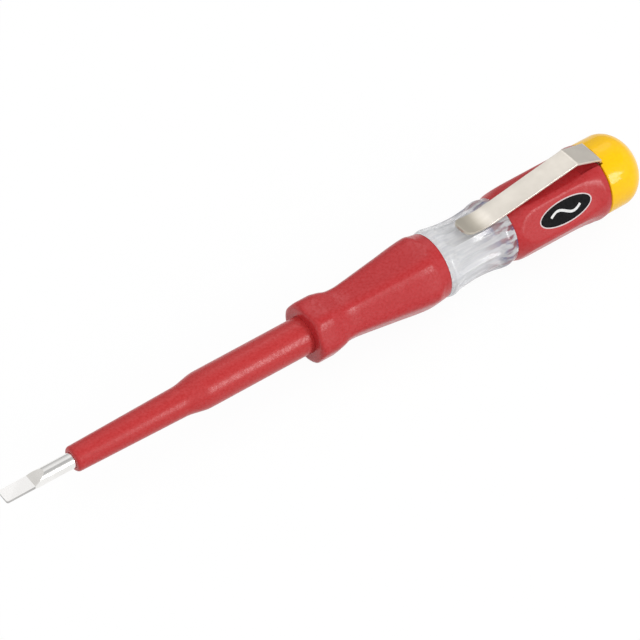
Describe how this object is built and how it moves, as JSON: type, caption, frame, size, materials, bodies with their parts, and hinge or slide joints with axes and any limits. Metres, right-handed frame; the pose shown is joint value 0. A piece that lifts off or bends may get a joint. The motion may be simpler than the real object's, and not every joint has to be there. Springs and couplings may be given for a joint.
{
  "type": "voltage tester screwdriver",
  "caption": "Slim flat-blade screwdriver and voltage tester with a stepped insulating sheath, faceted grips, a fluted clear lamp window, a sprung pocket clip and a domed end cap.",
  "frame": {"origin": "middle of the blade's working edge, on the tool's axis", "axes": "+X along the tool from the blade tip to the end cap, +Z towards the pocket clip, square to the blade's flats"},
  "size_m": [0.14, 0.015, 0.0175],
  "materials": {
    "blade_steel": "polished nickel-chrome plate",
    "sheath_plastic": "satin moulded",
    "red_grip_plastic": "semi-gloss moulded",
    "clear_plastic": "clear, polished",
    "yellow_cap_plastic": "semi-gloss moulded",
    "clip_steel": "nickel-plated sheet",
    "spring_steel": "drawn wire",
    "contact_brass": "turned",
    "nickel_wire": "drawn wire",
    "nickel_plate": "plated cup",
    "resistor_lacquer": "lacquered ceramic",
    "lamp_glass": "clear"
  },
  "bodies": {
    "handle": {"blade": "blade_steel", "blade_insulation": "sheath_plastic", "front_grip": "red_grip_plastic", "handle_core": "clear_plastic", "rear_sleeve": "red_grip_plastic", "end_cap": "yellow_cap_plastic", "clip_plate": "clip_steel", "contact_spring": "spring_steel", "contact_washer": "contact_brass", "lamp_glass": "lamp_glass", "lamp_stem": "lamp_glass", "lamp_electrode_left": "nickel_wire", "lamp_electrode_right": "nickel_wire", "lamp_lead_straight": "nickel_wire", "lamp_lead_return": "nickel_wire", "lamp_front_cap": "contact_brass", "lamp_rear_cap": "contact_brass", "resistor_body": "resistor_lacquer", "resistor_front_cap": "nickel_plate", "resistor_rear_cap": "nickel_plate"},
    "clip": {"clip_arm": "clip_steel"}
  },
  "joints": [
    {"name": "clip_flex", "type": "hinge", "parent": "handle", "child": "clip", "pos_m": [0.13025, 0, 0.00683], "axis": [0, 1, 0], "range_deg": [0, 6], "stiffness_Nm_per_rad": 1}
  ]
}
